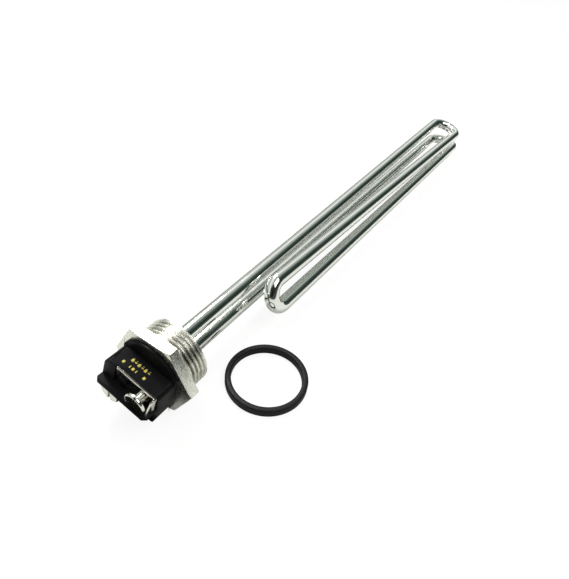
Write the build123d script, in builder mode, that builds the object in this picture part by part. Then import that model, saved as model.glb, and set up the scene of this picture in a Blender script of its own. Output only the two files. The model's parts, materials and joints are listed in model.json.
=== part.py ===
"""Screw-in, fold-back electric immersion element for a storage water heater, in millimetres.

The origin is the centre of the hex head's back face, where the gasket seats. +X runs along the
element to its far end and +Z is up, with one hex flat down. The terminal block faces -X.
The loose gasket lies flat beside the head, on the surface that the hex flat rests on.
"""
from build123d import *
import os
from math import cos, radians, sin

# Hex head and threaded shank, one turned piece
hex_across_flats = 38.1
hex_thickness = 5.0
hex_chamfer_diameter = 40.6
hex_chamfer_angle = 25.0
thread_diameter = 33.0
thread_length = 12.0
thread_lead_in = 1.4
back_recess_diameter = 26.4
back_recess_depth = 2.2

# Sheathed tube: two leads, two far bends, two returns and one near bend
tube_diameter = 8.0
sheath_wall = 0.6
lead_spacing = 14.9
lead_lean = 5.8
tube_stand_out = 0.8
straight_past_plug = 6.0
entry_bend_radius = 420.0
far_bend_reach = 367.0
near_bend_reach = 61.0
lead_a_far = (2.6, 8.45)
return_c_far = (-18.8, 4.15)
return_c_near = (-11.1, 8.15)
return_d_near = (-16.35, -6.2)
return_d_far = (-20.35, -6.85)
lead_b_far = (1.2, -6.45)
bend_fill = 0.985

# Inside the tube
fill_clearance = 0.1
pin_diameter = 3.0
pin_clearance = 0.15
cold_length = 50.0
coil_wire_diameter = 0.5
seal_length = 5.0

# Terminal block, in its own upright: across, up and out from the hex head
block_roll = 11.6
block_width = 28.0
block_height = 19.4
block_corner_radius = 2.5
floor_height = 11.4
flange_diameter = 34.6
flange_thickness = 1.5
flange_slope = 1.0
barrier_thickness = 1.2
barrier_top = 17.8
barrier_end_drop = 1.6
barrier_end_slant = 1.7
end_wall_width = 6.0
end_wall_rise = 0.8
end_wall_slope = 1.5
stake_inset = 4.8
stake_up = 5.1
stake_diameter = 4.6
stake_proud = 0.9
stake_rounding = 0.5
groove_inset = 2.0
groove_width = 0.3
groove_depth = 0.25
groove_length = 7.4
groove_start = 1.8

# Contact plates, folded from strip
plate_thickness = 0.8
plate_gap = 0.3
plate_wall_gap = 0.5
plate_overhang = 0.1
ear_side_margin = 0.6
ear_inner_height = 5.2
ear_outer_height = 2.2
ear_rounding = 1.2

# Terminal screws and the nuts under the plates
screw_inset = 6.7
screw_up = 5.8
screw_diameter = 4.8
screw_length = 9.5
upper_backed_out = 4.0
lower_backed_out = 2.6
head_diameter = 10.0
head_thickness = 1.4
head_rounding = 0.7
slot_width = 1.2
slot_depth = 0.8
screw_tip_chamfer = 0.5
screw_fit = 0.1
nut_width = 6.6
nut_thickness = 3.0
nut_clearance = 0.1
screw_hole_clearance = 0.4
screw_well_floor = 2.4

# Gasket, lying flat beside the head
gasket_play = 1.2
gasket_band = 2.9
gasket_thickness = 4.3
gasket_edge_rounding = 0.5
gasket_place = (34.3, -33.9)

os.makedirs("parts", exist_ok=True)

# Derived sizes and planes
tube_radius = tube_diameter / 2
bore_radius = tube_radius - sheath_wall
core_radius = bore_radius - fill_clearance / 2
pin_radius = pin_diameter / 2
core_bore_radius = pin_radius + pin_clearance
roll = radians(block_roll)
seat_centre = (-hex_thickness, 0, 0)
across = Vector(0, -cos(roll), -sin(roll))
block_plane = Plane(origin=seat_centre, x_dir=across, z_dir=(-1, 0, 0))
turned_plane = Plane(origin=seat_centre, x_dir=-across, z_dir=(-1, 0, 0))
floor_plane = block_plane.offset(floor_height)
plate_top = floor_height + plate_thickness
plate_right = block_width / 2 - ear_side_margin
wall_inner = block_width / 2 - end_wall_width
plate_left = wall_inner - plate_wall_gap
stake_place = (stake_inset - wall_inner, stake_up)
screw_place = (block_width / 2 - screw_inset, screw_up)
gasket_inner_radius = (thread_diameter + gasket_play) / 2
lead_a = (-lead_spacing / 2 * sin(radians(lead_lean)), lead_spacing / 2 * cos(radians(lead_lean)))
lead_b = (-lead_a[0], -lead_a[1])
tube_start = -hex_thickness - tube_stand_out


def in_block(place):
    """The block's own (across, up) for a (y, z) of the whole part."""
    y, z = place
    return (-y * cos(roll) - z * sin(roll), -y * sin(roll) + z * cos(roll))


def side_plane(side, distance):
    """The plane square to the block's width at a distance across, drawn as (up, out)."""
    return Plane(origin=side.from_local_coords(Vector(distance, 0, 0)), x_dir=side.y_dir, z_dir=side.x_dir)


def along(x, place):
    """A point at x on the line of a leg that stands at the (y, z) place."""
    return Vector(x, place[0], place[1])


def route_points(start):
    """Corners of the tube's centre line, from one end in the head to the other."""
    far = far_bend_reach - tube_radius
    near = near_bend_reach + tube_radius
    bend_on = thread_length + straight_past_plug
    return [
        along(start, lead_a),
        along(bend_on, lead_a),
        along(far, lead_a_far),
        along(far, return_c_far),
        along(near, return_c_near),
        along(near, return_d_near),
        along(far, return_d_far),
        along(far, lead_b_far),
        along(bend_on, lead_b),
        along(start, lead_b),
    ]


def route_radii():
    """A gentle entry bend on each lead, and half of each pair's spacing at the tight bends."""
    far_ac = (Vector(*lead_a_far) - Vector(*return_c_far)).length
    near_cd = (Vector(*return_c_near) - Vector(*return_d_near)).length
    far_db = (Vector(*return_d_far) - Vector(*lead_b_far)).length
    bends = [bend_fill * spacing / 2 for spacing in (far_ac, near_cd, far_db) for _ in range(2)]
    return [entry_bend_radius, *bends, entry_bend_radius]


def sweep_along(start, outer, inner):
    """One hollow round section swept from end to end, with its volume printed beside the sum."""
    with BuildPart() as swept:
        with BuildLine() as route:
            FilletPolyline(*route_points(start), radius=route_radii())
        path = route.wires()[0]
        with BuildSketch(Plane(origin=path @ 0, z_dir=path % 0)) as section:
            Circle(outer)
            Circle(inner, mode=Mode.SUBTRACT)
        area = section.sketch.area
        sweep(path=path)
    print(f"route {path.length:.1f} mm, swept {swept.part.volume:.0f} mm3, by sum {area * path.length:.0f} mm3")
    return swept


# Hex head with its threaded shank
with BuildPart() as hex_plug:
    with BuildSketch(Plane.YZ.offset(-hex_thickness)):
        RegularPolygon(hex_across_flats / 2, 6, major_radius=False)
    extrude(amount=hex_thickness)
    with BuildSketch(Plane.XZ):
        with BuildLine():
            corner = hex_across_flats / 2 / cos(radians(30)) + 1
            drop = (corner - hex_chamfer_diameter / 2) * sin(radians(hex_chamfer_angle))
            Polyline(
                (0, 0),
                (0, corner),
                (-hex_thickness + drop, corner),
                (-hex_thickness, hex_chamfer_diameter / 2),
                (-hex_thickness, 0),
                close=True,
            )
        make_face()
    revolve(axis=Axis.X, mode=Mode.INTERSECT)
    with BuildSketch(Plane.XZ):
        with BuildLine():
            Polyline(
                (0, 0),
                (0, thread_diameter / 2),
                (thread_length - thread_lead_in / 2, thread_diameter / 2),
                (thread_length, thread_diameter / 2 - thread_lead_in),
                (thread_length, back_recess_diameter / 2),
                (thread_length - back_recess_depth, back_recess_diameter / 2 - back_recess_depth / 4),
                (thread_length - back_recess_depth, 0),
                close=True,
            )
        make_face()
    revolve(axis=Axis.X)
    with BuildSketch(Plane.YZ.offset(-hex_thickness)):
        with Locations(lead_a, lead_b):
            Circle(tube_radius + fill_clearance / 2)
    extrude(amount=hex_thickness + thread_length, mode=Mode.SUBTRACT)
hex_plug.part.label = "hex_plug"
export_step(hex_plug.part, "parts/hex_plug.step")

# Bent sheath tube
sheath_tube = sweep_along(tube_start, tube_radius, bore_radius)
sheath_tube.part.label = "sheath_tube"
export_step(sheath_tube.part, "parts/sheath_tube.step")

# Packed mineral core, which stops short of the tube's ends for the seals
insulation_core = sweep_along(tube_start + seal_length, core_radius, core_bore_radius)
insulation_core.part.label = "insulation_core"
export_step(insulation_core.part, "parts/insulation_core.step")

# Heating coil, as the sleeve that its fine turns fill, between the cold pins' inner ends
coil_start = cold_length - hex_thickness
with BuildPart() as heating_coil:
    with BuildLine() as coil_route:
        FilletPolyline(*route_points(tube_start), radius=route_radii())
    coil_path = coil_route.wires()[0]
    with BuildSketch(Plane(origin=coil_path @ 0, z_dir=coil_path % 0)):
        Circle(pin_radius)
        Circle(pin_radius - coil_wire_diameter, mode=Mode.SUBTRACT)
    sweep(path=coil_path)
    split(bisect_by=Plane.YZ.offset(coil_start), keep=Keep.TOP)
heating_coil.part.label = "heating_coil"
export_step(heating_coil.part, "parts/heating_coil.step")

# Cold pins, from the coil out to the undersides of the contact plates
pin_end = -hex_thickness - floor_height
for letter, lead in (("a", lead_a), ("b", lead_b)):
    with BuildPart() as cold_pin:
        with BuildSketch(Plane.YZ.offset(pin_end)):
            with Locations(lead):
                Circle(pin_radius)
        extrude(amount=thread_length + straight_past_plug / 2 - pin_end)
    cold_pin.part.label = f"cold_pin_{letter}"
    export_step(cold_pin.part, f"parts/cold_pin_{letter}.step")

    with BuildPart() as end_seal:
        with BuildSketch(Plane.YZ.offset(tube_start)):
            with Locations(lead):
                Circle(core_radius)
                Circle(core_bore_radius, mode=Mode.SUBTRACT)
        extrude(amount=seal_length)
    end_seal.part.label = f"end_seal_{letter}"
    export_step(end_seal.part, f"parts/end_seal_{letter}.step")

# Moulded terminal block
screw_places = [screw_place, (-screw_place[0], -screw_place[1])]
stake_places = [stake_place, (-stake_place[0], -stake_place[1])]
lead_places = [in_block(lead_a), in_block(lead_b)]
with BuildPart() as terminal_block:
    with BuildSketch(block_plane):
        RectangleRounded(block_width, block_height, block_corner_radius)
    extrude(amount=floor_height)
    for side in (block_plane, turned_plane):
        wall_plane = side_plane(side, -block_width / 2)
        with BuildSketch(wall_plane):
            with BuildLine():
                Polyline(
                    (0, 0),
                    (block_height / 2, 0),
                    (block_height / 2, floor_height + end_wall_rise),
                    (0, floor_height + end_wall_rise + end_wall_slope),
                    close=True,
                )
            make_face()
        extrude(amount=end_wall_width)
    with BuildSketch(block_plane):
        RectangleRounded(block_width, block_height, block_corner_radius)
    extrude(amount=barrier_top, mode=Mode.INTERSECT)
    with BuildSketch(Plane(origin=seat_centre, x_dir=across, z_dir=-block_plane.y_dir)):
        with BuildLine():
            Polyline(
                (-block_width / 2, 0),
                (-block_width / 2, barrier_top - barrier_end_drop),
                (-block_width / 2 + barrier_end_slant, barrier_top),
                (block_width / 2 - barrier_end_slant, barrier_top),
                (block_width / 2, barrier_top - barrier_end_drop),
                (block_width / 2, 0),
                close=True,
            )
        make_face()
    extrude(amount=barrier_thickness / 2, both=True)
    with BuildSketch(block_plane) as flange_outline:
        Circle(flange_diameter / 2)
        Rectangle(block_width, flange_diameter, mode=Mode.INTERSECT)
    extrude(amount=flange_thickness)
    with BuildSketch(block_plane.offset(flange_thickness)):
        Circle(flange_diameter / 2)
        Rectangle(block_width, flange_diameter, mode=Mode.INTERSECT)
    with BuildSketch(block_plane.offset(flange_thickness + flange_slope)):
        Rectangle(block_width, block_height)
    loft()
    with BuildSketch(floor_plane):
        with Locations(*stake_places):
            Circle(stake_diameter / 2)
    extrude(amount=plate_thickness + stake_proud)
    stake_top = floor_plane.offset(plate_thickness + stake_proud).origin.X
    stake_rims = terminal_block.edges().filter_by(GeomType.CIRCLE)
    fillet(stake_rims.filter_by_position(Axis.X, stake_top - 0.01, stake_top + 0.01), stake_rounding)
    with BuildSketch(block_plane):
        with Locations(*lead_places):
            Circle(tube_radius + fill_clearance)
    extrude(amount=tube_stand_out + fill_clearance, mode=Mode.SUBTRACT)
    with BuildSketch(block_plane):
        with Locations(*lead_places):
            Circle(pin_radius + pin_clearance)
    extrude(amount=floor_height, mode=Mode.SUBTRACT)
    with BuildSketch(floor_plane):
        with Locations(*screw_places):
            Rectangle(nut_width + 2 * nut_clearance, nut_width + 2 * nut_clearance)
    extrude(amount=-nut_thickness - nut_clearance, mode=Mode.SUBTRACT)
    with BuildSketch(floor_plane):
        with Locations(*screw_places):
            Circle(screw_diameter / 2 + screw_hole_clearance)
    extrude(amount=screw_well_floor - floor_height, mode=Mode.SUBTRACT)
    with BuildSketch(block_plane.offset(groove_start)):
        for turn in (1, -1):
            with Locations((turn * (groove_inset - block_width / 2), turn * block_height / 2)):
                Rectangle(groove_width, 2 * groove_depth)
    extrude(amount=groove_length, mode=Mode.SUBTRACT)
terminal_block.part.label = "terminal_block"
export_step(terminal_block.part, "parts/terminal_block.step")

# Contact plates, screws and nuts, the lower set turned half round from the upper
for name, base, backed_out in (
    ("upper", block_plane, upper_backed_out),
    ("lower", turned_plane, lower_backed_out),
):
    head_seat = plate_top + backed_out
    plate_low = barrier_thickness / 2 + plate_gap
    plate_high = block_height / 2 + plate_overhang
    plate_mid = ((plate_right - plate_left) / 2, (plate_low + plate_high) / 2)

    with BuildPart() as terminal_plate:
        with BuildSketch(base.offset(floor_height)):
            with Locations(plate_mid):
                Rectangle(plate_right + plate_left, plate_high - plate_low)
            with Locations(screw_place):
                Circle(screw_diameter / 2 + screw_hole_clearance, mode=Mode.SUBTRACT)
            with Locations(stake_place):
                Circle(stake_diameter / 2 + fill_clearance, mode=Mode.SUBTRACT)
        extrude(amount=plate_thickness)
        with BuildSketch(side_plane(base, plate_right - plate_thickness)) as ear:
            with BuildLine():
                Polyline(
                    (plate_low, floor_height),
                    (plate_low, plate_top + ear_inner_height),
                    (plate_high, plate_top + ear_outer_height),
                    (plate_high, floor_height),
                    close=True,
                )
            make_face()
            fillet(ear.vertices().sort_by(Axis.X)[:2], ear_rounding)
        extrude(amount=plate_thickness)
    terminal_plate.part.label = f"terminal_plate_{name}"
    export_step(terminal_plate.part, f"parts/terminal_plate_{name}.step")

    with BuildPart() as terminal_screw:
        with BuildSketch(base.offset(head_seat)):
            with Locations(screw_place):
                Circle(head_diameter / 2)
        extrude(amount=head_thickness)
        rim = terminal_screw.edges().filter_by(GeomType.CIRCLE).sort_by(Axis.X)[0]
        fillet(rim, head_rounding)
        with BuildSketch(base.offset(head_seat + head_thickness)):
            with Locations(screw_place):
                Rectangle(slot_width, head_diameter + 1)
        extrude(amount=-slot_depth, mode=Mode.SUBTRACT)
        with BuildSketch(base.offset(head_seat)):
            with Locations(screw_place):
                Circle(screw_diameter / 2)
        extrude(amount=-screw_length)
        tip = terminal_screw.edges().filter_by(GeomType.CIRCLE).sort_by(Axis.X)[-1]
        chamfer(tip, screw_tip_chamfer)
    terminal_screw.part.label = f"terminal_screw_{name}"
    export_step(terminal_screw.part, f"parts/terminal_screw_{name}.step")

    with BuildPart() as screw_nut:
        with BuildSketch(base.offset(floor_height - nut_thickness)):
            with Locations(screw_place):
                Rectangle(nut_width, nut_width)
                Circle(screw_diameter / 2 + screw_fit, mode=Mode.SUBTRACT)
        extrude(amount=nut_thickness)
    screw_nut.part.label = f"screw_nut_{name}"
    export_step(screw_nut.part, f"parts/screw_nut_{name}.step")

# Loose gasket
with BuildPart() as gasket:
    with BuildSketch(Plane.XY.offset(-hex_across_flats / 2)):
        with Locations(gasket_place):
            Circle(gasket_inner_radius + gasket_band)
            Circle(gasket_inner_radius, mode=Mode.SUBTRACT)
    extrude(amount=gasket_thickness)
    fillet(gasket.edges().filter_by(GeomType.CIRCLE), gasket_edge_rounding)
gasket.part.label = "gasket"
export_step(gasket.part, "parts/gasket.step")
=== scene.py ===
"""Screw-in water heater element and its loose gasket, dressed for a studio picture.

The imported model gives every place. Lengths in the classes are in millimetres and turn to metres
through MM. The block has its own upright: across, up and out from the hex head's front face.
"""
import json
import logging
from dataclasses import dataclass, field
from enum import Enum
from math import cos, pi, radians, sin, tan

import bmesh
import bpy
from mathutils import Matrix, Vector

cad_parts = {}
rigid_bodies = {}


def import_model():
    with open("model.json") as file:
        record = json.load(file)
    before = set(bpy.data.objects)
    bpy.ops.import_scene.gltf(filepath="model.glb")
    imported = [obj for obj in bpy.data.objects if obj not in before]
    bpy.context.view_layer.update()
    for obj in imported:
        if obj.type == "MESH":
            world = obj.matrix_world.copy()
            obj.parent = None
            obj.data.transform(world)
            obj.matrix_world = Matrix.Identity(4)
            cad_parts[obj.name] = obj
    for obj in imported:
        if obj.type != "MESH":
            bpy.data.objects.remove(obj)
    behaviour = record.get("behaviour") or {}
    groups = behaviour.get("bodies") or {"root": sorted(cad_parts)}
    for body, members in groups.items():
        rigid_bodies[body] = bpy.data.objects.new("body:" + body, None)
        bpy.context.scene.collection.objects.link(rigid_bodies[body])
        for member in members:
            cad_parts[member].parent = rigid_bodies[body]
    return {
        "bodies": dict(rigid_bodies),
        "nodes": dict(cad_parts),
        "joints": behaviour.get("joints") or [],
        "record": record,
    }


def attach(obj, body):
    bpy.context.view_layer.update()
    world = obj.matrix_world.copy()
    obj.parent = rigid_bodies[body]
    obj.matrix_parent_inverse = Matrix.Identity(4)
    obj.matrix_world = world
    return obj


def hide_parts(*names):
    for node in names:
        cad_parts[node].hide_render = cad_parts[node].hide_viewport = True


MM = 0.001
LOG = logging.getLogger("element")


def linear(code: str) -> tuple[float, float, float, float]:
    """Turns an sRGB hex colour to the linear values that Blender's sockets take.

    Args:
        code: Six hex digits, with or without a leading hash.

    Returns:
        Linear red, green and blue, with an alpha of 1.
    """
    code = code.lstrip("#")
    parts = [int(code[place:place + 2], 16) / 255 for place in (0, 2, 4)]
    red, green, blue = [p / 12.92 if p <= 0.04045 else ((p + 0.055) / 1.055) ** 2.4 for p in parts]
    return red, green, blue, 1.0


def add_node(tree: bpy.types.NodeTree, kind: str, inputs: dict | None = None, **settings) -> bpy.types.Node:
    """Adds a node with its settings, and sets or links its inputs.

    Args:
        tree: The tree that the node goes into.
        kind: Blender's identifier of the node.
        inputs: Socket name or number to a value, or to the output socket that feeds it.
        **settings: The node's own properties.

    Returns:
        The new node.
    """
    node = tree.nodes.new(kind)
    for name, value in settings.items():
        setattr(node, name, value)
    for socket, value in (inputs or {}).items():
        if isinstance(value, bpy.types.NodeSocket):
            tree.links.new(value, node.inputs[socket])
        else:
            node.inputs[socket].default_value = value
    return node


def set_ramp(node: bpy.types.Node, stops: list[tuple[float, str]]) -> None:
    """Gives a colour ramp its stops.

    Args:
        node: A colour ramp node.
        stops: Places from 0 to 1, each with its sRGB hex colour.
    """
    points = node.color_ramp.elements
    while len(points) < len(stops):
        points.new(1.0)
    for point, (place, colour) in zip(points, stops):
        point.position = place
        point.color = linear(colour)


@dataclass(frozen=True)
class Finish:
    """A surface finish: one colour, its gloss, and the pattern that its making left."""

    name: str
    colour: str
    roughness: float
    metallic: float = 0.0
    specular: float = 0.5

    def start(self) -> tuple[bpy.types.Material, bpy.types.NodeTree, bpy.types.Node, bpy.types.NodeSocket]:
        """Begins the material.

        Returns:
            The material, its tree, its shader and the object coordinates.
        """
        material = bpy.data.materials.new(self.name)
        material.use_nodes = True
        material.diffuse_color = linear(self.colour)
        tree = material.node_tree
        shader = tree.nodes["Principled BSDF"]
        shader.inputs["Base Color"].default_value = linear(self.colour)
        shader.inputs["Roughness"].default_value = self.roughness
        shader.inputs["Metallic"].default_value = self.metallic
        shader.inputs["Specular IOR Level"].default_value = self.specular
        coords = add_node(tree, "ShaderNodeTexCoord")
        return material, tree, shader, coords.outputs["Object"]

    def build(self) -> bpy.types.Material:
        """Makes the finished material; each finish adds its own pattern."""
        return self.start()[0]


@dataclass(frozen=True)
class TurnedSteel(Finish):
    """Nickel-plated steel, turned and left unpolished, so highlights break over fine grit."""

    grit: float = 0.55
    shadow: str = "#bfbcae"
    # colour of the painted shade in the thread's grooves and the hollow end
    groove_shade: str = "#4b4935"
    groove_from: float = 15.2
    groove_to: float = 16.35

    def build(self) -> bpy.types.Material:
        """Grit on the flats, and painted olive shade in the thread's grooves, darkest at the root, in patches."""
        material, tree, shader, coords = self.start()
        speck = add_node(tree, "ShaderNodeTexNoise", {
            "Vector": coords, "Scale": 1 / (self.grit * MM), "Detail": 3.0, "Roughness": 0.7})
        parts = add_node(tree, "ShaderNodeSeparateXYZ", {0: coords})
        square_y = add_node(tree, "ShaderNodeMath", {0: parts.outputs["Y"], 1: 2.0}, operation="POWER")
        square_z = add_node(tree, "ShaderNodeMath", {0: parts.outputs["Z"], 1: 2.0}, operation="POWER")
        total = add_node(tree, "ShaderNodeMath", {0: square_y.outputs[0], 1: square_z.outputs[0]})
        reach = add_node(tree, "ShaderNodeMath", {0: total.outputs[0]}, operation="SQRT")
        depth = add_node(tree, "ShaderNodeMapRange", {
            "Value": reach.outputs[0], "From Min": self.groove_from * MM, "From Max": self.groove_to * MM,
            "To Min": 1.0, "To Max": 0.0})
        behind = add_node(tree, "ShaderNodeMapRange", {
            "Value": parts.outputs["X"], "From Min": 0.0, "From Max": 0.4 * MM})
        patch = add_node(tree, "ShaderNodeTexNoise", {"Vector": coords, "Scale": 1 / (9 * MM), "Detail": 2.0})
        patchy = add_node(tree, "ShaderNodeMapRange", {
            "Value": patch.outputs["Fac"], "From Min": 0.38, "From Max": 0.6, "To Min": 0.25, "To Max": 1.0})
        # painted shade: darker with depth toward the groove root, full over the hollow end, only on the shank past the
        # head
        groove_depth_shade = add_node(tree, "ShaderNodeMath", {
            0: depth.outputs["Result"], 1: behind.outputs["Result"]}, operation="MULTIPLY")
        patchy_groove_shade = add_node(tree, "ShaderNodeMath", {
            0: groove_depth_shade.outputs[0], 1: patchy.outputs["Result"]}, operation="MULTIPLY")
        coarse = add_node(tree, "ShaderNodeMapRange", {
            "Value": speck.outputs["Fac"], "From Min": 0.36, "From Max": 0.58})
        grain = add_node(tree, "ShaderNodeMix", {"Factor": coarse.outputs["Result"]}, data_type="RGBA")
        grain.inputs[6].default_value = linear(self.shadow)
        grain.inputs[7].default_value = linear(self.colour)
        shade = add_node(tree, "ShaderNodeMix", {"Factor": patchy_groove_shade.outputs[0]}, data_type="RGBA")
        tree.links.new(grain.outputs[2], shade.inputs[6])
        shade.inputs[7].default_value = linear(self.groove_shade)
        tree.links.new(shade.outputs[2], shader.inputs["Base Color"])
        rough = add_node(tree, "ShaderNodeMapRange", {
            "Value": speck.outputs["Fac"], "From Min": 0.3, "From Max": 0.7,
            "To Min": self.roughness - 0.08, "To Max": self.roughness + 0.1})
        tree.links.new(rough.outputs["Result"], shader.inputs["Roughness"])
        bump = add_node(tree, "ShaderNodeBump", {
            "Height": speck.outputs["Fac"], "Strength": 0.5, "Distance": 0.04 * MM})
        tree.links.new(bump.outputs["Normal"], shader.inputs["Normal"])
        return material


@dataclass(frozen=True)
class TinnedTube(Finish):
    """Bright tin over drawn copper tube, nearly a mirror, with faint drawing lines."""

    waver: float = 7.0

    def build(self) -> bpy.types.Material:
        """Slow waver and fine lines along the tube, with duller patches where it was handled."""
        material, tree, shader, coords = self.start()
        stretch = add_node(tree, "ShaderNodeMapping", {"Vector": coords, "Scale": (0.06, 1.0, 1.0)})
        lines = add_node(tree, "ShaderNodeTexNoise", {
            "Vector": stretch.outputs["Vector"], "Scale": 1 / (1.6 * MM), "Detail": 1.0})
        slow = add_node(tree, "ShaderNodeTexNoise", {
            "Vector": coords, "Scale": 1 / (self.waver * MM), "Detail": 1.0})
        dull = add_node(tree, "ShaderNodeMapRange", {
            "Value": slow.outputs["Fac"], "From Min": 0.4, "From Max": 0.7,
            "To Min": self.roughness, "To Max": self.roughness + 0.07})
        tree.links.new(dull.outputs["Result"], shader.inputs["Roughness"])
        drawn = add_node(tree, "ShaderNodeBump", {
            "Height": lines.outputs["Fac"], "Strength": 0.2, "Distance": 0.01 * MM})
        bump = add_node(tree, "ShaderNodeBump", {
            "Height": slow.outputs["Fac"], "Strength": 0.5, "Distance": 0.1 * MM,
            "Normal": drawn.outputs["Normal"]})
        tree.links.new(bump.outputs["Normal"], shader.inputs["Normal"])
        return material


@dataclass(frozen=True)
class MouldedPhenolic(Finish):
    """Black phenolic moulding: satin skin, a few pale rub marks and flow in the gloss."""

    dust: str = "#121316"

    def build(self) -> bpy.types.Material:
        """Flow marks in the gloss, a soft skin texture and rubbed patches."""
        material, tree, shader, coords = self.start()
        flow = add_node(tree, "ShaderNodeTexNoise", {"Vector": coords, "Scale": 1 / (6 * MM), "Detail": 3.0})
        rough = add_node(tree, "ShaderNodeMapRange", {
            "Value": flow.outputs["Fac"], "From Min": 0.3, "From Max": 0.7,
            "To Min": self.roughness - 0.07, "To Max": self.roughness + 0.09})
        tree.links.new(rough.outputs["Result"], shader.inputs["Roughness"])
        rub = add_node(tree, "ShaderNodeTexNoise", {
            "Vector": coords, "Scale": 1 / (1.4 * MM), "Detail": 5.0, "Roughness": 0.65})
        worn = add_node(tree, "ShaderNodeMapRange", {
            "Value": rub.outputs["Fac"], "From Min": 0.6, "From Max": 0.78, "To Min": 0.0, "To Max": 0.5})
        shade = add_node(tree, "ShaderNodeMix", {"Factor": worn.outputs["Result"]}, data_type="RGBA")
        shade.inputs[6].default_value = linear(self.colour)
        shade.inputs[7].default_value = linear(self.dust)
        tree.links.new(shade.outputs[2], shader.inputs["Base Color"])
        skin = add_node(tree, "ShaderNodeBump", {
            "Height": rub.outputs["Fac"], "Strength": 0.35, "Distance": 0.03 * MM})
        tree.links.new(skin.outputs["Normal"], shader.inputs["Normal"])
        return material


@dataclass(frozen=True)
class GrainedFinish(Finish):
    """A plain finish with one noise in colour, gloss and bump, for the smaller pieces."""

    other: str = "#808080"
    grain: float = 1.0
    lift: float = 0.02
    spread: float = 0.08

    def build(self) -> bpy.types.Material:
        """One grain that moves the colour, the gloss and the surface a little."""
        material, tree, shader, coords = self.start()
        grain = add_node(tree, "ShaderNodeTexNoise", {
            "Vector": coords, "Scale": 1 / (self.grain * MM), "Detail": 4.0, "Roughness": 0.6})
        ramp = add_node(tree, "ShaderNodeValToRGB", {"Fac": grain.outputs["Fac"]})
        set_ramp(ramp, [(0.35, self.colour), (0.75, self.other)])
        tree.links.new(ramp.outputs["Color"], shader.inputs["Base Color"])
        rough = add_node(tree, "ShaderNodeMapRange", {
            "Value": grain.outputs["Fac"], "From Min": 0.3, "From Max": 0.7,
            "To Min": max(self.roughness - self.spread, 0.02), "To Max": self.roughness + self.spread})
        tree.links.new(rough.outputs["Result"], shader.inputs["Roughness"])
        bump = add_node(tree, "ShaderNodeBump", {
            "Height": grain.outputs["Fac"], "Strength": 0.5, "Distance": self.lift * MM})
        tree.links.new(bump.outputs["Normal"], shader.inputs["Normal"])
        return material


class Slot(Enum):
    """The record's material slots."""

    STEEL = "plated_steel"
    SHEATH = "tinned_sheath"
    MINERAL = "packed_mineral"
    WIRE = "resistance_wire"
    PIN = "pin_steel"
    SEAL = "seal_resin"
    BLOCK = "black_moulding"
    PLATE = "bright_plate"
    SCREW = "bright_screw"
    NUT = "nut_brass"
    RUBBER = "gasket_rubber"


FINISHES = {
    Slot.STEEL: TurnedSteel("nickel_plated_turned_steel", "#f4f3ec", 0.27, 1.0),
    Slot.SHEATH: TinnedTube("bright_tinned_copper_tube", "#e4e5e1", 0.07, 1.0),
    Slot.MINERAL: GrainedFinish("packed_magnesia", "#e6e2d6", 0.9, other="#cfc8b6", grain=0.5, lift=0.05),
    Slot.WIRE: GrainedFinish("drawn_resistance_wire", "#7d7a76", 0.35, 1.0, other="#5f5a55", grain=0.6),
    Slot.PIN: GrainedFinish("drawn_steel_rod", "#a9a7a2", 0.3, 1.0, other="#8d8a83", grain=0.8),
    Slot.SEAL: GrainedFinish("cast_silicone_seal", "#8e5a3c", 0.55, other="#a36c49", grain=1.2),
    Slot.BLOCK: MouldedPhenolic("black_phenolic_moulding", "#070709", 0.38, specular=0.08),
    Slot.PLATE: GrainedFinish("nickel_plated_strip", "#eeece6", 0.14, 1.0, other="#d9d6cc", grain=1.5, lift=0.02),
    Slot.SCREW: GrainedFinish("nickel_plated_screw", "#f1f0ea", 0.12, 1.0, other="#dddad0", grain=1.2, lift=0.02),
    Slot.NUT: GrainedFinish("machined_brass", "#c9a860", 0.28, 1.0, other="#ad8b48", grain=1.0),
    Slot.RUBBER: GrainedFinish("moulded_nitrile_rubber", "#0b0b0b", 0.45, specular=0.12, other="#141415", grain=1.6,
                               lift=0.03, spread=0.1),
}
INK = GrainedFinish("printed_yellow_ink", "#b5a636", 0.5, other="#857a2a", grain=0.35, lift=0.01)
# near-black sheared edge: partly the shear face's own duller colour, partly a painted dark reflection in place of the
# bright one its upward face would show
SHEARED_EDGE_PAINTED_DARK = GrainedFinish("sheared_strip_edge_painted_dark", "#26241f", 0.42, 1.0, other="#454138", grain=0.5, lift=0.02)


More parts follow.
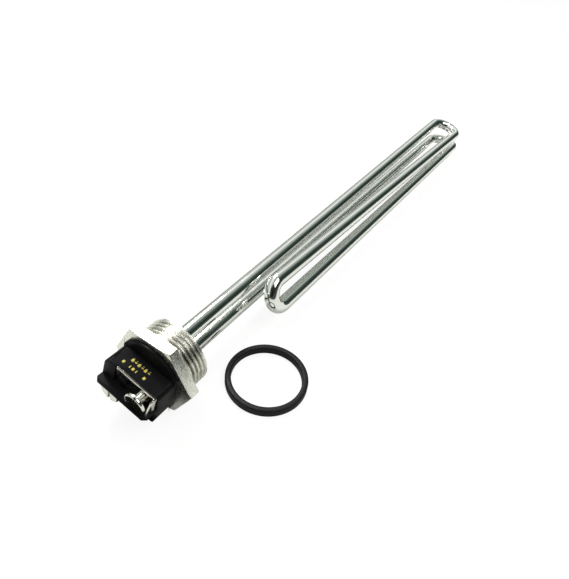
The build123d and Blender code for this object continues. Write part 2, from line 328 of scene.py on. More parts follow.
class Workshop:
    """Keeps the frame, the finishes made so far and the small jobs that every piece shares."""

    def __init__(self) -> None:
        """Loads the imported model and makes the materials."""
        self.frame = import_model()
        self.materials = {slot: finish.build() for slot, finish in FINISHES.items()}
        self.ink = INK.build()
        self.edge = SHEARED_EDGE_PAINTED_DARK.build()

    def carry(self, node: str, slot: Slot) -> None:
        """Gives a CAD node that stays its material.

        Args:
            node: The node's name.
            slot: The slot whose finish it takes.
        """
        piece = self.frame["nodes"][node]
        piece.data.materials.clear()
        piece.data.materials.append(self.materials[slot])
        LOG.info("%s stays as packed, %s", node, slot.value)

    def merged(self, node: str) -> bmesh.types.BMesh:
        """Copies a CAD node's mesh with its doubles merged and its flats dissolved.

        Args:
            node: The node's name.

        Returns:
            The copy, which the caller frees.
        """
        shape = bmesh.new()
        shape.from_mesh(self.frame["nodes"][node].data)
        bmesh.ops.remove_doubles(shape, verts=shape.verts, dist=0.0005 * MM)
        bmesh.ops.dissolve_limit(shape, angle_limit=radians(0.3), verts=shape.verts, edges=shape.edges)
        return shape

    def piece(self, name: str, shape: bmesh.types.BMesh, material: bpy.types.Material) -> bpy.types.Object:
        """Turns a built shape to a scene object at the origin.

        Args:
            name: The piece's name.
            shape: The shape, which is freed here.
            material: Its material.

        Returns:
            The new object.
        """
        mesh = bpy.data.meshes.new(name)
        shape.to_mesh(mesh)
        shape.free()
        mesh.materials.append(material)
        obj = bpy.data.objects.new(name, mesh)
        bpy.context.scene.collection.objects.link(obj)
        return obj

    def soften(self, obj: bpy.types.Object, width: float, angle: float = 35.0, segments: int = 2) -> None:
        """Rounds an object's edges and sets its smooth shading, as a plain mesh.

        Args:
            obj: The object.
            width: The bevel's width in millimetres.
            angle: Edges sharper than this, in degrees, are rounded.
            segments: Faces across each rounded edge.
        """
        bevel = obj.modifiers.new("edges", "BEVEL")
        bevel.width = width * MM
        bevel.segments = segments
        bevel.limit_method = "ANGLE"
        bevel.angle_limit = radians(angle)
        bevel.use_clamp_overlap = False
        bevel.harden_normals = False
        self.settle(obj)
        obj.data.shade_smooth()
        obj.data.set_sharp_from_angle(angle=radians(angle))

    def settle(self, obj: bpy.types.Object) -> None:
        """Applies an object's modifiers by taking its evaluated mesh."""
        graph = bpy.context.evaluated_depsgraph_get()
        mesh = bpy.data.meshes.new_from_object(obj.evaluated_get(graph))
        obj.modifiers.clear()
        obj.data = mesh
        mesh.name = obj.name

    def seat(self, obj: bpy.types.Object, body: str, slot: Slot | None, *nodes: str) -> None:
        """Puts a finished piece on its body, for the CAD nodes that it stands for.

        Args:
            obj: The finished piece.
            body: The body that carries it.
            slot: The record's slot, if it has one; not used.
            *nodes: The CAD nodes that it replaces.
        """
        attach(obj, body)
        if nodes:
            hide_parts(*nodes)
        LOG.info("%s on %s, %d faces", obj.name, body, len(obj.data.polygons))


@dataclass
class Studio:
    """Camera at the photograph's view, white surroundings, pale floor and soft lamps."""

    focal_px: float = 460.1
    frame_width_px: float = 569.0
    frame_height_px: float = 579.0
    sensor: float = 36.0
    place: tuple[float, float, float] = (-85.71, -99.22, 161.37)
    pitch: float = 41.40
    yaw: float = 27.73
    roll: float = -8.73
    floor_z: float = -19.05
    dark_corner: tuple[float, float, float] = (-0.65, -0.45, 0.6)

    def build(self) -> None:
        """Makes everything around the object."""
        self.camera()
        self.world()
        self.floor()
        self.painted_shadow_card()
        self.lamps()
        bpy.context.scene.view_settings.view_transform = "Standard"

    def camera(self) -> None:
        """Sets the camera from the fitted place, turns and focal length."""
        data = bpy.data.cameras.new("camera")
        data.sensor_fit = "VERTICAL"
        data.sensor_height = self.sensor
        data.lens = self.focal_px * self.sensor / self.frame_height_px
        data.clip_start = 0.005
        yaw, pitch, roll = (radians(a) for a in (self.yaw, self.pitch, self.roll))
        level = Vector((cos(yaw), sin(yaw), 0))
        right = Vector((sin(yaw), -cos(yaw), 0))
        ahead = level * cos(pitch) - Vector((0, 0, 1)) * sin(pitch)
        down = ahead.cross(right)
        turned_right = right * cos(roll) + down * sin(roll)
        turned_down = down * cos(roll) - right * sin(roll)
        matrix = Matrix((turned_right, -turned_down, -ahead)).transposed().to_4x4()
        matrix.translation = Vector(self.place) * MM
        camera = bpy.data.objects.new("camera", data)
        camera.matrix_world = matrix
        bpy.context.scene.collection.objects.link(camera)
        bpy.context.scene.camera = camera

    def world(self) -> None:
        """White to the camera, and to metal a studio of bands round the element's length: a dim wall on
        each side, a bright ceiling between them and a darker near wall."""
        world = bpy.data.worlds.new("studio")
        bpy.context.scene.world = world
        world.use_nodes = True
        tree = world.node_tree
        tree.nodes.clear()
        coords = add_node(tree, "ShaderNodeTexCoord")
        parts = add_node(tree, "ShaderNodeSeparateXYZ", {0: coords.outputs["Generated"]})
        round_x = add_node(tree, "ShaderNodeMath", {0: parts.outputs["Z"], 1: parts.outputs["Y"]},
                           operation="ARCTAN2")
        sweep = add_node(tree, "ShaderNodeMapRange", {"Value": round_x.outputs[0], "From Min": 0.0, "From Max": pi})
        room = add_node(tree, "ShaderNodeValToRGB", {"Fac": sweep.outputs["Result"]})
        set_ramp(room, [
            (0.0, "#46504b"), (0.05, "#56615b"), (0.1, "#c9d0cb"), (0.2, "#dfe4e1"), (0.23, "#838e88"),
            (0.27, "#f4f6f4"), (0.3, "#ffffff"), (0.43, "#ffffff"), (0.46, "#97a29c"), (0.53, "#c4ccc7"),
            (0.58, "#8c9891"), (0.64, "#56635d"), (0.72, "#46534d"), (0.76, "#2b3631"), (0.88, "#232c28"),
            (0.93, "#4d5953"), (1.0, "#39433e")])
        aim = add_node(tree, "ShaderNodeVectorMath", {
            0: coords.outputs["Generated"], 1: Vector(self.dark_corner).normalized()}, operation="DOT_PRODUCT")
        near = add_node(tree, "ShaderNodeMapRange", {
            "Value": aim.outputs["Value"], "From Min": 0.82, "From Max": 0.94}, interpolation_type="SMOOTHSTEP")
        dim = add_node(tree, "ShaderNodeMix", {"Factor": near.outputs["Result"]}, data_type="RGBA")
        tree.links.new(room.outputs["Color"], dim.inputs[6])
        dim.inputs[7].default_value = linear("#1f2018")
        lit = add_node(tree, "ShaderNodeBackground", {"Color": dim.outputs[2], "Strength": 1.0})
        white = add_node(tree, "ShaderNodeBackground", {"Color": (1, 1, 1, 1), "Strength": 1.0})
        path = add_node(tree, "ShaderNodeLightPath")
        seen = add_node(tree, "ShaderNodeMixShader", {
            0: path.outputs["Is Glossy Ray"], 1: white.outputs[0], 2: lit.outputs[0]})
        add_node(tree, "ShaderNodeOutputWorld", {0: seen.outputs[0]})

    def floor(self) -> None:
        """Makes a pale floor that keeps a faint shadow and meets the white behind it."""
        half = 3.0
        shape = bmesh.new()
        corners = [shape.verts.new((x * half, y * half, self.floor_z * MM))
                   for x, y in ((-1, -1), (1, -1), (1, 1), (-1, 1))]
        shape.faces.new(corners)
        mesh = bpy.data.meshes.new("floor")
        shape.to_mesh(mesh)
        shape.free()
        material = bpy.data.materials.new("pale_floor_card")
        material.use_nodes = True
        tree = material.node_tree
        tree.nodes.clear()
        path = add_node(tree, "ShaderNodeLightPath")
        shade = add_node(tree, "ShaderNodeMix", {"Factor": path.outputs["Is Glossy Ray"]}, data_type="RGBA")
        shade.inputs[6].default_value = linear("#f4f4f2")
        shade.inputs[7].default_value = linear("#b9bbb6")
        card = add_node(tree, "ShaderNodeBsdfDiffuse", {"Color": shade.outputs[2]})
        glow = add_node(tree, "ShaderNodeEmission", {"Color": (1, 1, 1, 1), "Strength": 1.0})
        share = add_node(tree, "ShaderNodeMath", {0: path.outputs["Is Camera Ray"], 1: 0.86}, operation="MULTIPLY")
        mix = add_node(tree, "ShaderNodeMixShader", {0: share.outputs[0], 1: card.outputs[0], 2: glow.outputs[0]})
        add_node(tree, "ShaderNodeOutputMaterial", {0: mix.outputs[0]})
        mesh.materials.append(material)
        floor = bpy.data.objects.new("floor", mesh)
        bpy.context.scene.collection.objects.link(floor)

    def painted_shadow_card(self) -> None:
        """Lays a small black card before the head, which only mirrors see: a painted shadow of the block on the floor,
        for the head's faces to reflect.
        """
        shape = bmesh.new()
        outline = ((-60, -25), (-12, -25), (-12, 10), (-29.5, 10), (-29.5, 15), (-60, 15))
        shape.faces.new([shape.verts.new(Vector((x, y, self.floor_z + 0.2)) * MM) for x, y in outline])
        mesh = bpy.data.meshes.new("painted_shadow_card")
        shape.to_mesh(mesh)
        shape.free()
        material = bpy.data.materials.new("painted_shadow_black_card")
        material.use_nodes = True
        shader = material.node_tree.nodes["Principled BSDF"]
        shader.inputs["Base Color"].default_value = linear("#0b0b0b")
        shader.inputs["Roughness"].default_value = 1.0
        shader.inputs["Specular IOR Level"].default_value = 0.0
        mesh.materials.append(material)
        painted_shadow_card = bpy.data.objects.new("painted_shadow_card", mesh)
        # painted shadow: seen only in reflections, it casts no shadow and lights nothing
        painted_shadow_card.visible_camera = False
        painted_shadow_card.visible_diffuse = False
        painted_shadow_card.visible_shadow = False
        bpy.context.scene.collection.objects.link(painted_shadow_card)

    def lamps(self) -> None:
        """Makes the key lamp over the head and a wide fill over the far end."""
        for name, place, aim, size, power in (
            ("key", (0.37, 0.43, 0.7), (0.0, 0.0, 0.0), 0.3, 8.0),
            ("fill", (0.15, -0.5, 0.75), (0.15, 0.0, 0.0), 0.5, 3.0),
        ):
            data = bpy.data.lights.new(name, "AREA")
            data.shape = "SQUARE"
            data.size = size
            data.energy = power
            lamp = bpy.data.objects.new(name, data)
            lamp.location = place
            lamp.rotation_euler = (Vector(aim) - Vector(place)).to_track_quat("-Z", "Y").to_euler()
            bpy.context.scene.collection.objects.link(lamp)


class ThreadRule:
    """A Geometry Nodes tree that winds a threaded wall from a flat grid."""

    SIZES = {"Radius": 16.5, "Depth": 1.2, "Pitch": 2.209, "Length": 11.3, "Run In": 0.6, "Run Out": 2.0}
    COUNTS = {"Around": 120, "Along": 150}

    def __init__(self) -> None:
        """Builds the tree with named inputs for its sizes."""
        self.tree = bpy.data.node_groups.new("thread_rule", "GeometryNodeTree")
        face = self.tree.interface
        self.sockets = {}
        for name in self.SIZES:
            self.sockets[name] = face.new_socket(name=name, in_out="INPUT", socket_type="NodeSocketFloat")
        for name in self.COUNTS:
            self.sockets[name] = face.new_socket(name=name, in_out="INPUT", socket_type="NodeSocketInt")
        self.sockets["Finish"] = face.new_socket(name="Finish", in_out="INPUT", socket_type="NodeSocketMaterial")
        face.new_socket(name="Geometry", in_out="OUTPUT", socket_type="NodeSocketGeometry")
        self.wind()

    def wind(self) -> None:
        """Adds the nodes: a grid, its helix, the rounded ridge and the closing merge."""
        tree = self.tree
        sizes = add_node(tree, "NodeGroupInput").outputs
        grid = add_node(tree, "GeometryNodeMeshGrid", {
            "Size X": 1.0, "Size Y": 1.0, "Vertices X": sizes["Along"], "Vertices Y": sizes["Around"]})
        spot = add_node(tree, "GeometryNodeInputPosition")
        parts = add_node(tree, "ShaderNodeSeparateXYZ", {0: spot.outputs[0]})
        share = add_node(tree, "ShaderNodeMath", {0: parts.outputs["X"], 1: 0.5})
        along = add_node(tree, "ShaderNodeMath", {0: share.outputs[0], 1: sizes["Length"]}, operation="MULTIPLY")
        turn = add_node(tree, "ShaderNodeMath", {0: parts.outputs["Y"], 1: 0.5})
        turns = add_node(tree, "ShaderNodeMath", {0: along.outputs[0], 1: sizes["Pitch"]}, operation="DIVIDE")
        lag = add_node(tree, "ShaderNodeMath", {0: turns.outputs[0], 1: turn.outputs[0]}, operation="SUBTRACT")
        ridge = add_node(tree, "ShaderNodeMath", {0: lag.outputs[0], 1: 0.5}, operation="PINGPONG")
        crest = add_node(tree, "ShaderNodeMapRange", {
            "Value": ridge.outputs[0], "From Min": 0.06, "From Max": 0.42}, interpolation_type="SMOOTHSTEP")
        start = add_node(tree, "ShaderNodeMapRange", {
            "Value": along.outputs[0], "From Min": 0.0, "From Max": sizes["Run In"]},
            interpolation_type="SMOOTHSTEP")
        left = add_node(tree, "ShaderNodeMath", {0: sizes["Length"], 1: along.outputs[0]}, operation="SUBTRACT")
        end = add_node(tree, "ShaderNodeMapRange", {
            "Value": left.outputs[0], "From Min": 0.0, "From Max": sizes["Run Out"]},
            interpolation_type="SMOOTHSTEP")
        groove = add_node(tree, "ShaderNodeMath", {0: 1.0, 1: crest.outputs["Result"]}, operation="SUBTRACT")
        cut = add_node(tree, "ShaderNodeMath", {0: groove.outputs[0], 1: sizes["Depth"]}, operation="MULTIPLY")
        fade = add_node(tree, "ShaderNodeMath", {
            0: start.outputs["Result"], 1: end.outputs["Result"]}, operation="MULTIPLY")
        cut_faded = add_node(tree, "ShaderNodeMath", {0: cut.outputs[0], 1: fade.outputs[0]}, operation="MULTIPLY")
        reach = add_node(tree, "ShaderNodeMath", {0: sizes["Radius"], 1: cut_faded.outputs[0]}, operation="SUBTRACT")
        angle = add_node(tree, "ShaderNodeMath", {0: turn.outputs[0], 1: 2 * pi}, operation="MULTIPLY")
        cosine = add_node(tree, "ShaderNodeMath", {0: angle.outputs[0]}, operation="COSINE")
        sine = add_node(tree, "ShaderNodeMath", {0: angle.outputs[0]}, operation="SINE")
        side = add_node(tree, "ShaderNodeMath", {0: reach.outputs[0], 1: cosine.outputs[0]}, operation="MULTIPLY")
        up = add_node(tree, "ShaderNodeMath", {0: reach.outputs[0], 1: sine.outputs[0]}, operation="MULTIPLY")
        place = add_node(tree, "ShaderNodeCombineXYZ", {
            "X": along.outputs[0], "Y": side.outputs[0], "Z": up.outputs[0]})
        wound = add_node(tree, "GeometryNodeSetPosition", {
            "Geometry": grid.outputs["Mesh"], "Position": place.outputs[0]})
        closed = add_node(tree, "GeometryNodeMergeByDistance", {
            "Geometry": wound.outputs[0], "Distance": 0.0005 * MM})
        real = add_node(tree, "GeometryNodeRealizeInstances", {"Geometry": closed.outputs[0]})
        dressed = add_node(tree, "GeometryNodeSetMaterial", {"Geometry": real.outputs[0], "Material": sizes["Finish"]})
        add_node(tree, "NodeGroupOutput", {0: dressed.outputs[0]})

    def make(self, shop: Workshop, name: str, material: bpy.types.Material, **values: float) -> bmesh.types.BMesh:
        """Winds one threaded wall along +X from the origin.

        Args:
            shop: The workshop.
            name: A name for the passing object.
            material: The wall's material.
            **values: Sizes in millimetres and counts, by input name with underscores.

        Returns:
            The wall as an open mesh in metres.
        """
        host = bpy.data.objects.new(name, bpy.data.meshes.new(name))
        bpy.context.scene.collection.objects.link(host)
        winder = host.modifiers.new("thread", "NODES")
        winder.node_group = self.tree
        for size, usual in self.SIZES.items():
            winder[self.sockets[size].identifier] = values.get(size.replace(" ", "_"), usual) * MM
        for count, usual in self.COUNTS.items():
            winder[self.sockets[count].identifier] = int(values.get(count, usual))
        winder[self.sockets["Finish"].identifier] = material
        shop.settle(host)
        wall = bmesh.new()
        wall.from_mesh(host.data)
        bpy.data.objects.remove(host)
        return wall


def close_wall(wall: bmesh.types.BMesh, profile_start: list[tuple[float, float]],
               profile_end: list[tuple[float, float]]) -> None:
    """Closes a wall wound about +X with turned faces at both ends.

    Args:
        wall: The open wall, closed here.
        profile_start: (x, radius) stations in metres from the low end inwards.
        profile_end: The same from the high end.
    """
    rims = [edge for edge in wall.edges if edge.is_boundary]
    middle = sum(edge.verts[0].co.x for edge in rims) / len(rims)
    low = [edge for edge in rims if edge.verts[0].co.x < middle]
    high = [edge for edge in rims if edge.verts[0].co.x >= middle]
    for rim, profile in ((low, profile_start), (high, profile_end)):
        for x, radius in profile:
            grown = bmesh.ops.extrude_edge_only(wall, edges=rim)["geom"]
            for vert in (item for item in grown if isinstance(item, bmesh.types.BMVert)):
                flat = Vector((0, vert.co.y, vert.co.z)).normalized() * radius
                vert.co = Vector((x, flat.y, flat.z))
            rim = [item for item in grown if isinstance(item, bmesh.types.BMEdge)
                   and all(abs(v.co.x - x) < 1e-9 for v in item.verts) and item.is_boundary]
        bmesh.ops.contextual_create(wall, geom=rim)
    bmesh.ops.recalc_face_normals(wall, faces=wall.faces)


@dataclass
class HexHead:
    """Hex head, chamfered on its front, with the threaded shank and its hollow end."""

    across_flats: float = 38.1
    thickness: float = 5.0
    chamfer_diameter: float = 40.6
    chamfer_angle: float = 25.0
    thread_radius: float = 16.5
    thread_end: float = 11.3
    shank_end: float = 12.0
    lead_radius: float = 15.1
    recess_radius: float = 13.2
    recess_floor: float = 9.8
    steps_per_side: int = 24

    def build(self, shop: Workshop, thread: ThreadRule) -> None:
        """Makes the head and shank as one piece.

        Args:
            shop: The workshop.
            thread: The rule that winds the thread.
        """
        material = shop.materials[Slot.STEEL]
        head = shop.piece("hex_head_turned", self.head(), material)
        shop.soften(head, 0.3, angle=14.0, segments=3)
        wall = thread.make(shop, "shank_wall", material, Length=self.thread_end, Along=190, Around=144)
        inner = (self.recess_radius - 0.55) * MM
        close_wall(wall, [(0.0, 0.004)], [
            (self.shank_end * MM - 0.0002, (self.lead_radius + 0.35) * MM),
            (self.shank_end * MM, self.lead_radius * MM),
            (self.shank_end * MM, self.recess_radius * MM),
            (self.recess_floor * MM, inner),
            (self.recess_floor * MM, 0.004)])
        shank = shop.piece("thread_shank_cut", wall, material)
        shank.data.shade_smooth()
        shank.data.set_sharp_from_angle(angle=radians(40))
        shop.seat(head, "element", Slot.STEEL, "hex_plug")
        shop.seat(shank, "element", Slot.STEEL)

    def head(self) -> bmesh.types.BMesh:
        """Builds the hex prism with its turned front corners."""
        shape = bmesh.new()
        half = self.across_flats / 2
        chamfer = self.chamfer_diameter / 2
        slope = sin(radians(self.chamfer_angle))
        count = 6 * self.steps_per_side
        rings = []
        for profile in range(5):
            ring = []
            for step in range(count):
                angle = 2 * pi * step / count
                off = (angle + pi / 6 + pi / 6) % (pi / 3) - pi / 6
                reach = half / cos(off)
                drop = max(reach - chamfer, 0) * slope
                radius = (self.thread_radius * 0.7, min(reach, chamfer), reach, reach, self.thread_radius * 0.7)[profile]
                x = (-self.thickness, -self.thickness, -self.thickness + drop, 0, 0)[profile]
                ring.append(shape.verts.new(Vector((x, radius * cos(angle), radius * sin(angle))) * MM))
            rings.append(ring)
        for near, far in zip(rings, rings[1:]):
            for step in range(count):
                after = (step + 1) % count
                shape.faces.new((near[step], near[after], far[after], far[step]))
        shape.faces.new(rings[0])
        shape.faces.new(rings[-1])
        bmesh.ops.remove_doubles(shape, verts=shape.verts, dist=0.002 * MM)
        bmesh.ops.dissolve_degenerate(shape, dist=0.002 * MM, edges=shape.edges)
        bmesh.ops.dissolve_limit(shape, angle_limit=radians(0.2), verts=shape.verts, edges=shape.edges)
        bmesh.ops.recalc_face_normals(shape, faces=shape.faces)
        return shape


class TubeRule:
    """A Geometry Nodes tree that sweeps a round wall along a route, with a slight waver."""

    def __init__(self) -> None:
        """Builds the tree."""
        self.tree = bpy.data.node_groups.new("tube_rule", "GeometryNodeTree")
        face = self.tree.interface
        kinds = {"Route": "NodeSocketGeometry", "Radius": "NodeSocketFloat", "Around": "NodeSocketInt",
                 "Waver": "NodeSocketFloat", "Waver Length": "NodeSocketFloat", "Finish": "NodeSocketMaterial"}
        self.sockets = {name: face.new_socket(name=name, in_out="INPUT", socket_type=kind)
                        for name, kind in kinds.items()}
        face.new_socket(name="Geometry", in_out="OUTPUT", socket_type="NodeSocketGeometry")
        tree = self.tree
        sizes = add_node(tree, "NodeGroupInput").outputs
        ring = add_node(tree, "GeometryNodeCurvePrimitiveCircle", {
            "Resolution": sizes["Around"], "Radius": sizes["Radius"]})
        wall = add_node(tree, "GeometryNodeCurveToMesh", {
            "Curve": sizes["Route"], "Profile Curve": ring.outputs["Curve"], "Fill Caps": False})
        fineness = add_node(tree, "ShaderNodeMath", {0: 1.0, 1: sizes["Waver Length"]}, operation="DIVIDE")
        noise = add_node(tree, "ShaderNodeTexNoise", {"Scale": fineness.outputs[0], "Detail": 1.0})
        level = add_node(tree, "ShaderNodeMath", {0: noise.outputs[0], 1: 0.65}, operation="SUBTRACT")
        push = add_node(tree, "ShaderNodeMath", {0: level.outputs[0], 1: sizes["Waver"]}, operation="MULTIPLY")
        normal = add_node(tree, "GeometryNodeInputNormal")
        offset = add_node(tree, "ShaderNodeVectorMath", {0: normal.outputs[0]}, operation="SCALE")
        tree.links.new(push.outputs[0], offset.inputs["Scale"])
        moved = add_node(tree, "GeometryNodeSetPosition", {
            "Geometry": wall.outputs[0], "Offset": offset.outputs[0]})
        real = add_node(tree, "GeometryNodeRealizeInstances", {"Geometry": moved.outputs[0]})
        dressed = add_node(tree, "GeometryNodeSetMaterial", {"Geometry": real.outputs[0], "Material": sizes["Finish"]})
        add_node(tree, "NodeGroupOutput", {0: dressed.outputs[0]})


@dataclass
class SheathTube:
    """The folded-back tube: two leads, two far bends, two returns and one near bend."""

    diameter: float = 8.0
    wall: float = 0.6
    start: float = -5.8
    straight_to: float = 18.0
    far_reach: float = 367.0
    near_reach: float = 61.0
    lead_spacing: float = 14.9
    lead_lean: float = 5.8
    lead_a_far: tuple[float, float] = (2.6, 8.45)
    return_c_far: tuple[float, float] = (-18.8, 4.15)
    return_c_near: tuple[float, float] = (-11.1, 8.15)
    return_d_near: tuple[float, float] = (-16.35, -6.2)
    return_d_far: tuple[float, float] = (-20.35, -6.85)
    lead_b_far: tuple[float, float] = (1.2, -6.45)
    entry_bend_radius: float = 420.0
    bend_fill: float = 0.985
    run_step: float = 3.0
    arc_step: float = 6.0

    def corners(self) -> list[Vector]:
        """Corner points of the centre line in millimetres."""
        lean = radians(self.lead_lean)
        side, up = -self.lead_spacing / 2 * sin(lean), self.lead_spacing / 2 * cos(lean)
        far = self.far_reach - self.diameter / 2
        near = self.near_reach + self.diameter / 2
        legs = [
            (self.start, (side, up)), (self.straight_to, (side, up)), (far, self.lead_a_far),
            (far, self.return_c_far), (near, self.return_c_near), (near, self.return_d_near),
            (far, self.return_d_far), (far, self.lead_b_far), (self.straight_to, (-side, -up)),
            (self.start, (-side, -up))]
        return [Vector((x, *place)) for x, place in legs]

    def radii(self) -> list[float]:
        """Bend radius at each inner corner in millimetres."""
        pairs = ((self.lead_a_far, self.return_c_far), (self.return_c_near, self.return_d_near),
                 (self.return_d_far, self.lead_b_far))
        tight = [self.bend_fill * (Vector(a) - Vector(b)).length / 2 for a, b in pairs for _ in range(2)]
        return [self.entry_bend_radius, *tight, self.entry_bend_radius]

    def route(self) -> list[Vector]:
        """Points of the centre line, close on the bends and wider on the runs, in millimetres."""
        corners, points = self.corners(), []
        points.append(corners[0])
        for before, corner, after, radius in zip(corners, corners[1:], corners[2:], self.radii()):
            ahead, onward = (corner - before).normalized(), (after - corner).normalized()
            turn = ahead.angle(onward)
            reach = radius * tan(turn / 2)
            first = corner - ahead * reach
            centre = corner + (onward - ahead).normalized() * radius / cos(turn / 2)
            steps = max(int(turn / radians(self.arc_step)), 4)
            self.run(points, first)
            axis = ahead.cross(onward).normalized()
            for step in range(1, steps + 1):
                spin = Matrix.Rotation(turn * step / steps, 3, axis)
                points.append(centre + spin @ (first - centre))
        self.run(points, corners[-1])
        return points

    def run(self, points: list[Vector], end: Vector) -> None:
        """Adds points from the last one to an end, a step apart."""
        begin = points[-1]
        steps = max(int((end - begin).length / self.run_step), 1)
        points.extend(begin.lerp(end, step / steps) for step in range(1, steps + 1))

    def build(self, shop: Workshop) -> None:
        """Sweeps the tube's outer wall and gives it its thickness.

        Args:
            shop: The workshop.
        """
        rule = TubeRule()
        route = self.route()
        data = bpy.data.curves.new("sheath_route", "CURVE")
        data.dimensions = "3D"
        line = data.splines.new("POLY")
        line.points.add(len(route) - 1)
        for point, place in zip(line.points, route):
            point.co = (*(place * MM), 1.0)
        host = bpy.data.objects.new("sheath_route", data)
        bpy.context.scene.collection.objects.link(host)
        sweep = host.modifiers.new("sweep", "NODES")
        sweep.node_group = rule.tree
        values = {"Radius": self.diameter / 2 * MM, "Around": 48, "Waver": 0.05 * MM,
                  "Waver Length": 14 * MM, "Finish": shop.materials[Slot.SHEATH]}
        for name, value in values.items():
            sweep[rule.sockets[name].identifier] = value
        graph = bpy.context.evaluated_depsgraph_get()
        mesh = bpy.data.meshes.new_from_object(host.evaluated_get(graph))
        bpy.data.objects.remove(host)
        mesh.name = "sheath_tube_drawn"
        tube = bpy.data.objects.new("sheath_tube_drawn", mesh)
        bpy.context.scene.collection.objects.link(tube)
        shape = bmesh.new()
        shape.from_mesh(mesh)
        bmesh.ops.recalc_face_normals(shape, faces=shape.faces)
        if sum(face.normal.dot(face.calc_center_median() - Vector((0.2, -0.009, 0))) for face in shape.faces) < 0:
            bmesh.ops.reverse_faces(shape, faces=shape.faces)
        shape.to_mesh(mesh)
        shape.free()
        thick = tube.modifiers.new("wall", "SOLIDIFY")
        thick.thickness = self.wall * MM
        thick.offset = -1.0
        shop.settle(tube)
        tube.data.shade_smooth()
        tube.data.set_sharp_from_angle(angle=radians(50))
        shop.seat(tube, "element", Slot.SHEATH, "sheath_tube")


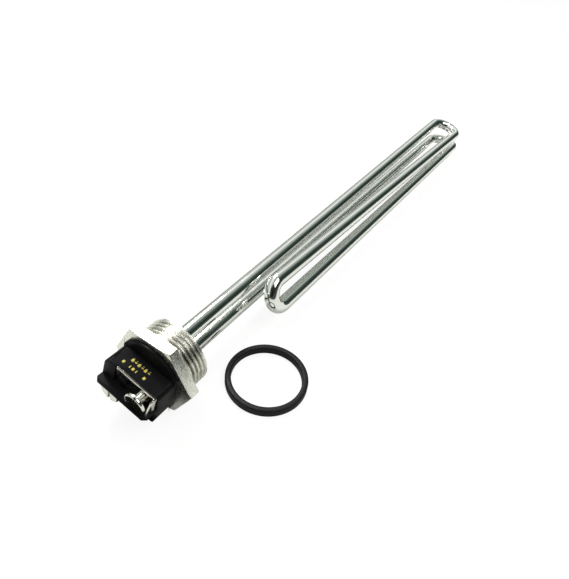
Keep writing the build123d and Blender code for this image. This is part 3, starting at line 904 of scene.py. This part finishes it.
@dataclass
class TerminalBlock:
    """Moulded block with its plates, its backed-out screws and the marks on one face."""

    front: float = -5.0
    roll: float = 11.6
    floor_out: float = 11.4
    plate_top: float = 12.2
    half_height: float = 9.7
    screw_at: tuple[float, float] = (7.3, 5.8)
    backed_out: dict[str, float] = field(default_factory=lambda: {"upper": 4.0, "lower": 2.6})
    screw_radius: float = 2.4
    screw_length: float = 9.5
    screw_pitch: float = 0.79

    def spot(self, u: float, n: float, out: float) -> Vector:
        """A place across, up and out on the block, in metres in the whole frame."""
        turn = radians(self.roll)
        across = Vector((0, -cos(turn), -sin(turn)))
        upward = Vector((0, -sin(turn), cos(turn)))
        return (Vector((self.front - out, 0, 0)) + across * u + upward * n) * MM

    def build(self, shop: Workshop, thread: ThreadRule) -> None:
        """Makes the block and all that it carries.

        Args:
            shop: The workshop.
            thread: The rule that winds the screws' threads.
        """
        block = shop.piece("terminal_block_moulded", shop.merged("terminal_block"), shop.materials[Slot.BLOCK])
        shop.soften(block, 0.22, angle=38.0, segments=3)
        shop.seat(block, "element", Slot.BLOCK, "terminal_block")
        self.marks(shop)
        for side, hand in (("upper", 1), ("lower", -1)):
            plate = shop.piece(f"terminal_plate_{side}_folded", shop.merged(f"terminal_plate_{side}"),
                               shop.materials[Slot.PLATE])
            shop.soften(plate, 0.12, angle=38.0, segments=3)
            self.shear(shop, plate, hand)
            shop.seat(plate, "element", Slot.PLATE, f"terminal_plate_{side}")
            self.screw(shop, thread, side, hand)

    def shear(self, shop: Workshop, plate: bpy.types.Object, hand: int) -> None:
        """Gives the plate's long outer edge the duller finish of sheared strip, near black: partly the shear face's own
        colour, partly a painted dark reflection.

        Args:
            shop: The workshop.
            plate: The plate.
            hand: 1 for the upper plate, -1 for the lower.
        """
        outward = (self.spot(0, hand, 0) - self.spot(0, 0, 0)).normalized()
        # these faces take the near-black edge finish, partly real shear face and partly painted dark reflection
        plate.data.materials.append(shop.edge)
        for face in plate.data.polygons:
            if face.normal.dot(outward) > 0.96:
                face.material_index = 1
        LOG.info("%s has %d sheared faces", plate.name, sum(f.material_index for f in plate.data.polygons))

    def screw(self, shop: Workshop, thread: ThreadRule, side: str, hand: int) -> None:
        """Makes one slotted screw: the head from the CAD, and a wound thread for its shank.

        Args:
            shop: The workshop.
            thread: The thread rule.
            side: upper or lower.
            hand: 1 for the upper set, -1 for the one turned half round.
        """
        node = f"terminal_screw_{side}"
        seat = self.plate_top + self.backed_out[side]
        under = (self.front - seat) * MM
        centre = self.spot(hand * self.screw_at[0], hand * self.screw_at[1], seat)
        head_shape = shop.merged(node)
        for vert in head_shape.verts:
            if vert.co.x > under + 0.01 * MM:
                off = Vector((0, vert.co.y - centre.y, vert.co.z - centre.z)) * 0.8
                vert.co = Vector((vert.co.x - 0.1 * MM, centre.y + off.y, centre.z + off.z))
        head = shop.piece(f"{node}_head", head_shape, shop.materials[Slot.SCREW])
        shop.soften(head, 0.09, angle=38.0, segments=2)
        tip = self.screw_length - 0.5
        wall = thread.make(shop, "screw_wall", shop.materials[Slot.SCREW], Radius=self.screw_radius, Depth=0.42,
                           Pitch=self.screw_pitch, Length=tip + 0.2, Run_In=0.3, Run_Out=0.3, Around=40, Along=130)
        close_wall(wall, [(0.0, 0.0012)], [((tip + 0.7) * MM, 0.0019), ((tip + 0.7) * MM, 0.0008)])
        for vert in wall.verts:
            vert.co = vert.co + Vector((centre.x - 0.2 * MM, centre.y, centre.z))
        shank = shop.piece(f"{node}_thread", wall, shop.materials[Slot.SCREW])
        shank.data.shade_smooth()
        shank.data.set_sharp_from_angle(angle=radians(50))
        body = f"{side}_screw"
        shop.seat(head, body, Slot.SCREW, node)
        shop.seat(shank, body, Slot.SCREW)

    def marks(self, shop: Workshop) -> None:
        """Prints plain strokes on the upper face in two rows, in place of the real lettering."""
        shape = bmesh.new()
        strokes = []
        for index in range(6):
            strokes.append((-5.6 + 1.75 * index, 5.6, 1.15, 0.45 if index % 2 else 1.3))
            strokes.append((-5.6 + 1.75 * index, 4.75, 0.5, 0.35))
        for index, across in enumerate((-7.8, -4.3, -2.6, -0.9, 3.4)):
            strokes.append((across, 8.4, 0.45 if index % 2 else 1.1, 1.25))
        for across, out, wide, tall in strokes:
            corners = []
            for du, dw in ((-wide / 2, -tall / 2), (wide / 2, -tall / 2), (wide / 2, tall / 2), (-wide / 2, tall / 2)):
                corners.append((across + du, out + dw))
            low = [shape.verts.new(self.spot(u, self.half_height - 0.02, w)) for u, w in corners]
            high = [shape.verts.new(self.spot(u, self.half_height + 0.03, w)) for u, w in corners]
            shape.faces.new(low)
            shape.faces.new(high)
            for index in range(4):
                after = (index + 1) % 4
                shape.faces.new((low[index], low[after], high[after], high[index]))
        bmesh.ops.recalc_face_normals(shape, faces=shape.faces)
        marks = shop.piece("printed_marks", shape, shop.ink)
        shop.soften(marks, 0.02, angle=60.0, segments=1)
        shop.seat(marks, "element", None)


@dataclass
class Gasket:
    """The loose moulded ring, flat beside the head, with soft edges and a faint parting line."""

    place: tuple[float, float] = (34.3, -33.9)
    floor_z: float = -19.05
    outer: float = 20.0
    inner: float = 17.1
    height: float = 4.3
    rounding: float = 0.75
    steps: int = 160

    def section(self) -> list[tuple[float, float]]:
        """(radius, height) points around the ring's section, with the parting line's low ridge."""
        points = []
        arc = 5
        for centre_r, centre_h, begin in (
            (self.outer - self.rounding, self.rounding, -90),
            (self.outer - self.rounding, self.height - self.rounding, 0),
            (self.inner + self.rounding, self.height - self.rounding, 90),
            (self.inner + self.rounding, self.rounding, 180),
        ):
            for step in range(arc + 1):
                angle = radians(begin + 90 * step / arc)
                points.append((centre_r + self.rounding * cos(angle), centre_h + self.rounding * sin(angle)))
            if begin == -90:
                middle = self.height / 2
                points += [(self.outer - 0.05, middle - 0.12), (self.outer, middle), (self.outer - 0.05, middle + 0.12)]
        return points

    def build(self, shop: Workshop) -> None:
        """Turns the ring.

        Args:
            shop: The workshop.
        """
        shape = bmesh.new()
        rings = []
        for step in range(self.steps):
            angle = 2 * pi * step / self.steps
            rings.append([
                shape.verts.new(Vector((self.place[0] + r * cos(angle), self.place[1] + r * sin(angle),
                                        self.floor_z + h)) * MM)
                for r, h in self.section()])
        size = len(rings[0])
        for step, ring in enumerate(rings):
            after = rings[(step + 1) % self.steps]
            for index in range(size):
                onward = (index + 1) % size
                shape.faces.new((ring[index], after[index], after[onward], ring[onward]))
        bmesh.ops.recalc_face_normals(shape, faces=shape.faces)
        ring = shop.piece("gasket_moulded", shape, shop.materials[Slot.RUBBER])
        ring.data.shade_smooth()
        shop.seat(ring, "element", Slot.RUBBER, "gasket")


class InnerParts:
    """The pieces inside the tube and the block, which stay as packed."""

    NODES = {
        "insulation_core": Slot.MINERAL, "heating_coil": Slot.WIRE, "cold_pin_a": Slot.PIN, "cold_pin_b": Slot.PIN,
        "end_seal_a": Slot.SEAL, "end_seal_b": Slot.SEAL, "screw_nut_upper": Slot.NUT, "screw_nut_lower": Slot.NUT,
    }

    def build(self, shop: Workshop) -> None:
        """Dresses each node.

        Args:
            shop: The workshop.
        """
        for node, slot in self.NODES.items():
            shop.carry(node, slot)


def main() -> None:
    """Builds the studio and the element."""
    logging.basicConfig(level=logging.INFO, format="%(message)s")
    shop = Workshop()
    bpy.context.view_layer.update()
    Studio().build()
    thread = ThreadRule()
    HexHead().build(shop, thread)
    SheathTube().build(shop)
    TerminalBlock().build(shop, thread)
    Gasket().build(shop)
    InnerParts().build(shop)


if __name__ == "__main__":
    main()
